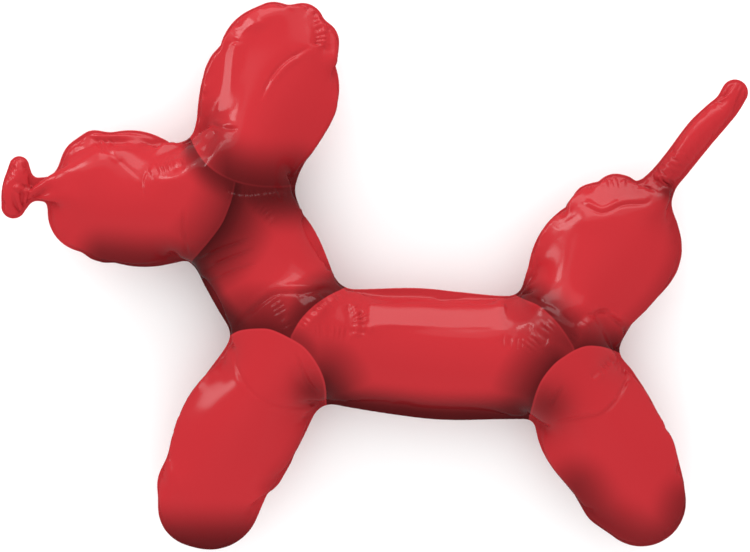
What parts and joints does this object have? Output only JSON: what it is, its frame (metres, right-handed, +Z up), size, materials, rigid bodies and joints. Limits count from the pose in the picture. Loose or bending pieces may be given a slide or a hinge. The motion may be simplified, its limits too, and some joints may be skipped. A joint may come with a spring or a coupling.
{
  "type": "foil dog balloon",
  "caption": "Inflated foil balloon in the shape of a standing balloon dog, lying on its side, with a narrow welded rim all round.",
  "frame": {"origin": "centre of the bounding box at its bottom, on the surface that the balloon lies on", "axes": "+X from the nose to the tail, +Y from the feet to the ear, +Z up through the thickness, out of the face that the picture shows"},
  "size_m": [1.045, 0.7668, 0.1847],
  "materials": {
    "red_foil": "glossy printed polyester foil, red with darker red shading"
  },
  "bodies": {
    "root": {"foil_balloon": "red_foil"}
  },
  "joints": []
}
